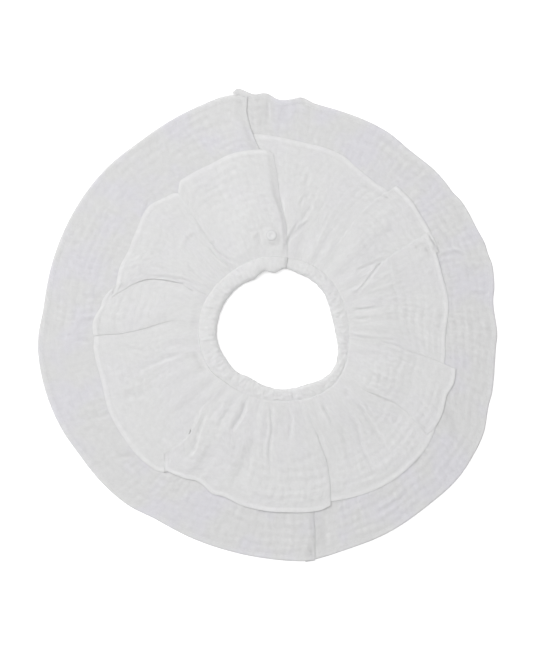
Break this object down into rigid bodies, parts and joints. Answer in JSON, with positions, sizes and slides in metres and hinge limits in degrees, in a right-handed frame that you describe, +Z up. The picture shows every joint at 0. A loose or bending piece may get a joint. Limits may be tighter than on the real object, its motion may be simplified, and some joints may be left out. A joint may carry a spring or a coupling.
{
  "type": "ruffled bib collar",
  "caption": "Round two-tier ruffled bib collar in white double gauze, laid flat, with a ruched elastic neck casing and a snapped back opening.",
  "frame": {"origin": "middle of the whole outline on the surface it lies on", "axes": "+Z up out of the cloth, +Y towards the back opening, +X to the right as the picture shows it"},
  "size_m": [0.4122, 0.4234, 0.0124],
  "materials": {
    "gauze": "crinkled white cotton double gauze",
    "casing": "white double gauze ruched over elastic",
    "snap": "satin white moulded plastic"
  },
  "bodies": {
    "root": {"lower_ruffle": "gauze", "upper_ruffle": "gauze", "neckband": "casing", "snap_cap": "snap", "snap_socket": "snap", "snap_stud": "snap"}
  },
  "joints": []
}
